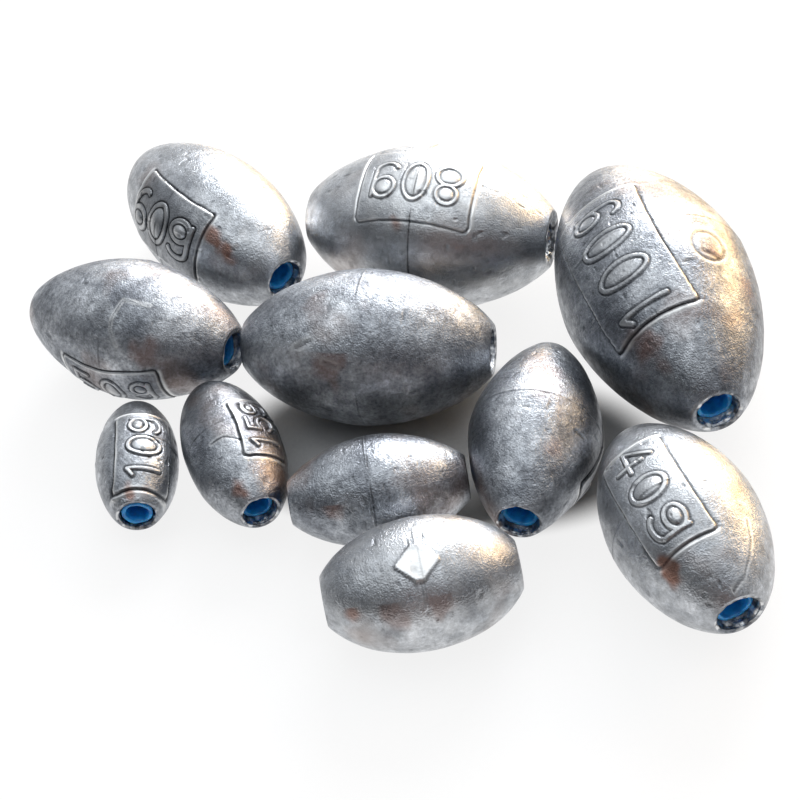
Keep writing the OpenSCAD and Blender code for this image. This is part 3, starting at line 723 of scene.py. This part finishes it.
# the table: matt white laminate, which takes soft contact shadows. The camera, gloss and glass
# see the open table mostly as plain white, which keeps a faint shadow. Under the crowded middle
# sinkers, within an ellipse, the shadow stays whole, and painted shade darkens the table's colour
# where something is near
tableSettings = {
    "reachMm": 20000, "low": "#E6E7E8", "high": "#EBECED", "toothMm": 0.6, "toothDeepMm": 0.02,
    "middleMm": (4, -9), "halfMm": (22, 11), "turn": -15.7, "fadeTo": 1.35, "outerShare": 0.86,
    "nearMm": 16, "gapShade": 0.3,
}
tableTop, tree = newMaterial("mattWhiteLaminate")
where = addNode(tree, "ShaderNodeTexCoord").outputs["Object"]
tooth = addNode(tree, "ShaderNodeTexNoise", {
    "Scale": 1 / (tableSettings["toothMm"] * millimetre), "Detail": 2.0}, {"Vector": where})
toothBump = addNode(tree, "ShaderNodeBump", {
    "Strength": 0.1, "Distance": tableSettings["toothDeepMm"] * millimetre}, {
    "Height": tooth.outputs["Fac"]})
tableColour = setRamp(addNode(tree, "ShaderNodeValToRGB", links={"Fac": tooth.outputs["Fac"]}), [
    (0.3, linearColour(tableSettings["low"])), (0.7, linearColour(tableSettings["high"]))])
nearness = addNode(tree, "ShaderNodeAmbientOcclusion", {
    "samples": 6, "Distance": tableSettings["nearMm"] * millimetre})
# painted shade: the table's colour darkens where ambient occlusion finds something near
gapShade = addNode(tree, "ShaderNodeMapRange", {
    "interpolation_type": "SMOOTHSTEP", "From Min": 0.15, "From Max": 0.8,
    "To Min": tableSettings["gapShade"], "To Max": 1.0}, {"Value": nearness.outputs["AO"]})
tableShaded = addNode(tree, "ShaderNodeVectorMath", {"operation": "SCALE"}, {
    0: tableColour.outputs["Color"], "Scale": gapShade.outputs["Result"]})
surface = addNode(tree, "ShaderNodeBsdfPrincipled", {"Roughness": 0.7, "IOR": 1.45}, {
    "Base Color": tableShaded.outputs["Vector"], "Normal": toothBump.outputs["Normal"]})
rays = addNode(tree, "ShaderNodeLightPath")
seen = addNode(tree, "ShaderNodeMath", {"operation": "MAXIMUM"}, {
    0: rays.outputs["Is Camera Ray"], 1: rays.outputs["Is Glossy Ray"]})
seen = addNode(tree, "ShaderNodeMath", {"operation": "MAXIMUM"}, {
    0: seen.outputs["Value"], 1: rays.outputs["Is Transmission Ray"]})
middleX, middleY = tableSettings["middleMm"]
halfX, halfY = tableSettings["halfMm"]
inEllipse = addNode(tree, "ShaderNodeMapping", {
    "vector_type": "TEXTURE",
    "Location": ((aim[0] + middleX) * millimetre, (aim[1] + middleY) * millimetre, 0),
    "Rotation": (0, 0, math.radians(tableSettings["turn"])),
    "Scale": (halfX * millimetre, halfY * millimetre, 1)}, {"Vector": where})
fromMiddle = addNode(tree, "ShaderNodeVectorMath", {"operation": "LENGTH"}, {
    0: inEllipse.outputs["Vector"]})
openShare = addNode(tree, "ShaderNodeMapRange", {
    "interpolation_type": "SMOOTHSTEP", "From Min": 1.0, "From Max": tableSettings["fadeTo"],
    "To Min": 0.0, "To Max": tableSettings["outerShare"]}, {"Value": fromMiddle.outputs["Value"]})
clearShare = addNode(tree, "ShaderNodeMapRange", {
    "interpolation_type": "SMOOTHSTEP", "From Min": 0.75, "From Max": 1.0, "To Min": 0.0,
    "To Max": tableSettings["outerShare"]}, {"Value": nearness.outputs["AO"]})
openShare = addNode(tree, "ShaderNodeMath", {"operation": "MAXIMUM"}, {
    0: openShare.outputs["Result"], 1: clearShare.outputs["Result"]})
whiteShare = addNode(tree, "ShaderNodeMath", {"operation": "MULTIPLY"}, {
    0: seen.outputs["Value"], 1: openShare.outputs["Value"]})
white = addNode(tree, "ShaderNodeEmission", {"Color": (1, 1, 1, 1), "Strength": 1.0})
tableMix = addNode(tree, "ShaderNodeMixShader", links={
    0: whiteShare.outputs["Value"], 1: surface.outputs["BSDF"], 2: white.outputs["Emission"]})
addNode(tree, "ShaderNodeOutputMaterial", links={"Surface": tableMix.outputs["Shader"]})
tableMesh = bpy.data.meshes.new("table")
reach = tableSettings["reachMm"] * millimetre
tableMesh.from_pydata([(-reach, -reach, 0), (reach, -reach, 0), (reach, reach, 0),
                       (-reach, reach, 0)], [], [(0, 1, 2, 3)])
tableMesh.materials.append(tableTop)
table = bpy.data.objects.new("table", tableMesh)
bpy.context.scene.collection.objects.link(table)
print("table made")

# light: a window-like softbox behind on the right, warm strips low beside it, a wide soft
# ceiling and a faint warm glow from the photographer's hand. Metres and watts
lights = {
    "window": {"towards": (0.32, 0.77, 0.55), "distance": 0.6, "size": (0.36, 0.30),
               "power": 4.4, "colour": (0.97, 0.98, 1.0)},
    "ceiling": {"towards": (-0.05, 0.12, 0.99), "distance": 0.7, "size": (0.9, 0.8),
                "power": 1.5, "colour": (0.92, 0.98, 1.0)},
    "warmWall": {"towards": (0.62, 0.76, 0.14), "distance": 0.6, "size": (0.60, 0.12),
                 "power": 3.0, "colour": (1.0, 0.62, 0.22)},
    "warmCurtain": {"towards": (0.86, 0.26, 0.44), "distance": 0.6, "size": (0.20, 0.30),
                    "power": 1.2, "colour": (1.0, 0.62, 0.26)},
    "hand": {"towards": (0.05, -0.93, 0.32), "distance": 0.35, "size": (0.14, 0.06),
             "power": 0.015, "colour": (1.0, 0.5, 0.38)},
}
for name, light in lights.items():
    data = bpy.data.lights.new(name, "AREA")
    data.shape = "RECTANGLE"
    data.size, data.size_y = light["size"]
    data.energy = light["power"]
    data.color = light["colour"]
    lamp = bpy.data.objects.new(name, data)
    bpy.context.scene.collection.objects.link(lamp)
    direction = Vector(light["towards"]).normalized()
    lamp.location = Vector(aim * millimetre) + direction * light["distance"]
    lamp.rotation_euler = direction.to_track_quat("Z", "Y").to_euler()
# the room is pale above and behind the table and dim low on the camera's side
roomSettings = {
    "towards": (0.18, 0.45, 0.87), "lowest": -0.3, "highest": 0.85,
    "stops": [(0.0, "#151312"), (0.22, "#3E4145"), (0.5, "#A2A7AE"), (1.0, "#F6F8FB")],
}
world = bpy.data.worlds.new("room")
bpy.context.scene.world = world
world.use_nodes = True
tree = world.node_tree
tree.nodes.clear()
roomWhere = addNode(tree, "ShaderNodeTexCoord").outputs["Generated"]
roomSlope = addNode(tree, "ShaderNodeVectorMath", {
    "operation": "DOT_PRODUCT", 1: roomSettings["towards"]}, {0: roomWhere})
roomLevel = addNode(tree, "ShaderNodeMapRange", {
    "interpolation_type": "SMOOTHSTEP", "From Min": roomSettings["lowest"],
    "From Max": roomSettings["highest"]}, {"Value": roomSlope.outputs["Value"]})
roomColour = setRamp(addNode(tree, "ShaderNodeValToRGB", links={
    "Fac": roomLevel.outputs["Result"]}), [
    (place, linearColour(shade)) for place, shade in roomSettings["stops"]])
roomLight = addNode(tree, "ShaderNodeBackground", {"Strength": 1.0}, {
    "Color": roomColour.outputs["Color"]})
addNode(tree, "ShaderNodeOutputWorld", links={"Surface": roomLight.outputs["Background"]})
bpy.context.scene.view_settings.view_transform = "Standard"
print("lights set")
